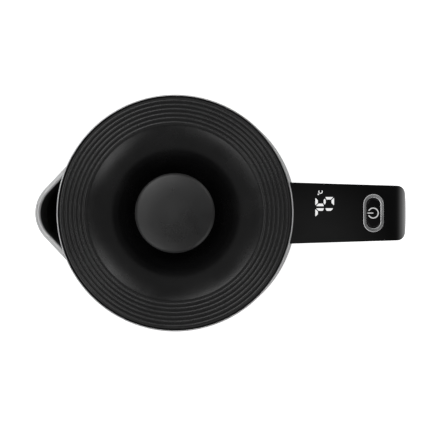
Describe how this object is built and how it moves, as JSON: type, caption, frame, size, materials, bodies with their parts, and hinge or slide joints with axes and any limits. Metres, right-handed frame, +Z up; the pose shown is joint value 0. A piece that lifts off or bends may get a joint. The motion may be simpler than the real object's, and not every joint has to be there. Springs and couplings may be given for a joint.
{
  "type": "electric kettle",
  "caption": "Cordless electric jug kettle with a short beak spout, rippled lift-off lid, and a loop handle with a lit display and power key.",
  "frame": {"origin": "on the swivel axis, at the resting plane under the base's feet", "axes": "+Z up along the swivel axis, +X from the spout towards the handle, +Y to the side of the base where the cord gland is"},
  "size_m": [0.2039, 0.1563, 0.219],
  "materials": {
    "body_steel": "satin stainless",
    "mesh_steel": "satin stainless",
    "plate_steel": "bright stainless",
    "element_steel": "dull sheath",
    "fastener_steel": "zinc plated",
    "spreader_aluminium": "mill finish",
    "contact_brass": "plain",
    "base_plastic": "fine matt texture",
    "lid_black": "fine matt texture",
    "knob_black": "fine matt texture",
    "grip_black": "fine matt texture",
    "liner_black": "smooth matt",
    "gloss_black": "high gloss",
    "bezel_grey": "satin grey",
    "display_lit": "lit white marks",
    "icon_lit": "lit grey marks",
    "display_white": "white reflector block",
    "board_green": "solder mask",
    "foot_rubber": "soft matt",
    "silicone": "translucent grey silicone",
    "loom_black": "sleeved cable"
  },
  "bodies": {
    "power_base": {"base_upper_shell": "base_plastic", "base_lower_shell": "base_plastic", "base_feet": "foot_rubber", "base_screws": "fastener_steel", "cord_gland": "foot_rubber", "coupler_tower": "base_plastic", "base_terminals": "contact_brass"},
    "coupler_core": {"coupler_core": "base_plastic"},
    "kettle": {"body_shell": "body_steel", "lid_seat_ring": "body_steel", "spout_beak": "body_steel", "spout_liner": "liner_black", "spout_mesh": "mesh_steel", "bottom_cover": "base_plastic", "bottom_screws": "fastener_steel", "heater_plate": "plate_steel", "spreader_plate": "spreader_aluminium", "heating_element": "element_steel", "temperature_probe": "plate_steel", "probe_seal": "silicone", "coupler_socket": "base_plastic", "coupler_contacts": "contact_brass", "overheat_discs": "contact_brass", "handle_cover": "gloss_black", "handle_grip": "grip_black", "handle_brackets": "plate_steel", "handle_screws": "fastener_steel", "control_board": "board_green", "display_block": "display_white", "display_light_guide": "display_lit", "key_bezel": "bezel_grey", "key_dome": "silicone", "handle_loom": "loom_black"},
    "key": {"power_key": "gloss_black", "key_icon": "icon_lit"},
    "lid": {"lid_top": "lid_black", "lid_under": "lid_black", "lid_seal": "silicone", "lid_screws": "fastener_steel", "lid_knob": "knob_black", "knob_insert": "contact_brass", "knob_screw": "fastener_steel", "knob_washer": "silicone"}
  },
  "joints": [
    {"name": "kettle_swivel", "type": "hinge", "parent": "power_base", "child": "coupler_core", "pos_m": [0, 0, 0.02], "axis": [0, 0, 1], "continuous": true},
    {"name": "kettle_lift", "type": "slide", "parent": "coupler_core", "child": "kettle", "axis": [0, 0, 1], "range_m": [0, 0.03]},
    {"name": "lid_lift", "type": "slide", "parent": "kettle", "child": "lid", "axis": [0, 0, 1], "range_m": [0, 0.04]},
    {"name": "key_press", "type": "slide", "parent": "kettle", "child": "key", "axis": [0, 0, -1], "range_m": [0, 0.0008], "stiffness_N_per_m": 1500, "springref_m": -0.0004, "deforming": ["key_dome"]}
  ]
}
